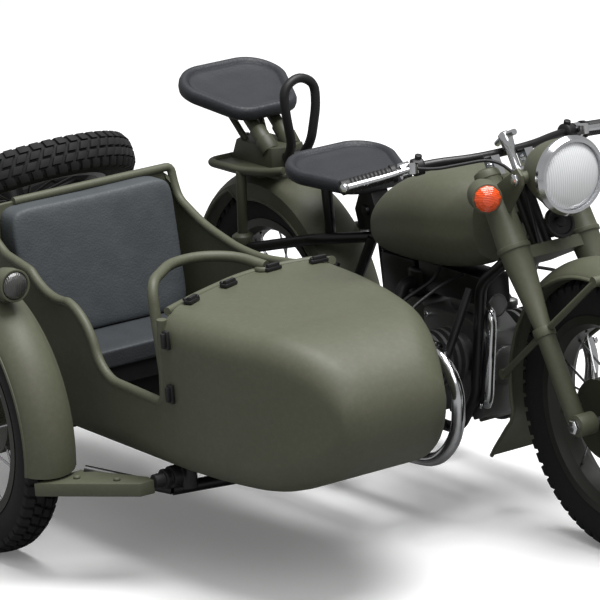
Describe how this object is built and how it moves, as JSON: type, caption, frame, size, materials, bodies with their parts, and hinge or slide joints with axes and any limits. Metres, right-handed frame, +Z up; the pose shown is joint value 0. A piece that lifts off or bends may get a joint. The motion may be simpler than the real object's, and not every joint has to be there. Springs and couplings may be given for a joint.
{
  "type": "scale model sidecar motorcycle",
  "caption": "Scale model of a flat-twin motorcycle with a boat-shaped sidecar on its right; steering turns and three wire wheels roll.",
  "frame": {"origin": "on the floor under the middle of the whole model", "axes": "+X forward, +Y to the rider's left, +Z up; the sidecar is on the right, at -Y"},
  "size_m": [0.2454, 0.159, 0.1015],
  "materials": {
    "tyre_rubber": "matt",
    "bright_metal": "polished",
    "engine_metal": "cast",
    "black_rubber": "matt",
    "seat_vinyl": "satin",
    "lens_clear": "fluted",
    "olive_paint": "matt",
    "black_paint": "satin"
  },
  "bodies": {
    "outfit": {"cockpit_hoop": "olive_paint", "cylinder_left": "engine_metal", "cylinder_right": "engine_metal", "engine_case": "engine_metal", "exhaust_left": "bright_metal", "exhaust_right": "bright_metal", "front_saddle": "black_rubber", "fuel_tank": "olive_paint", "main_frame": "olive_paint", "pillion_bracket": "olive_paint", "rear_axle": "bright_metal", "rear_mudguard": "olive_paint", "rear_saddle": "black_rubber", "saddle_bracket": "olive_paint", "seat_back": "seat_vinyl", "seat_base": "olive_paint", "seat_cushion": "seat_vinyl", "sidecar_body": "olive_paint", "sidecar_frame": "olive_paint", "sidecar_mudguard": "olive_paint", "spare_mount": "olive_paint", "spare_tyre": "tyre_rubber", "spare_wheel": "bright_metal"},
    "steering": {"bar_clamps": "bright_metal", "fork_left": "olive_paint", "fork_right": "olive_paint", "fork_yokes": "olive_paint", "front_axle": "bright_metal", "front_mudguard": "olive_paint", "grip_left": "black_rubber", "grip_right": "black_rubber", "handlebar": "black_paint", "headlamp_lens": "lens_clear", "headlamp_rim": "bright_metal", "headlamp_shell": "olive_paint"},
    "front_wheel_body": {"front_tyre": "tyre_rubber", "front_wheel": "bright_metal"},
    "rear_wheel_body": {"rear_tyre": "tyre_rubber", "rear_wheel": "bright_metal"},
    "sidecar_wheel_body": {"sidecar_tyre": "tyre_rubber", "sidecar_wheel": "bright_metal"}
  },
  "joints": [
    {"name": "steering_turn", "type": "hinge", "parent": "outfit", "child": "steering", "pos_m": [0.0593, 0.03727, 0.07572], "axis": [-0.4772, 0, 0.8788], "range_deg": [-32, 32]},
    {"name": "front_wheel_spin", "type": "hinge", "parent": "steering", "child": "front_wheel_body", "pos_m": [0.08817, 0.03727, 0.0345], "axis": [0, 1, 0], "continuous": true},
    {"name": "rear_wheel_spin", "type": "hinge", "parent": "outfit", "child": "rear_wheel_body", "pos_m": [-0.05783, 0.03727, 0.0345], "axis": [0, 1, 0], "continuous": true},
    {"name": "sidecar_wheel_spin", "type": "hinge", "parent": "outfit", "child": "sidecar_wheel_body", "pos_m": [-0.03183, -0.07253, 0.0345], "axis": [0, 1, 0], "continuous": true}
  ]
}
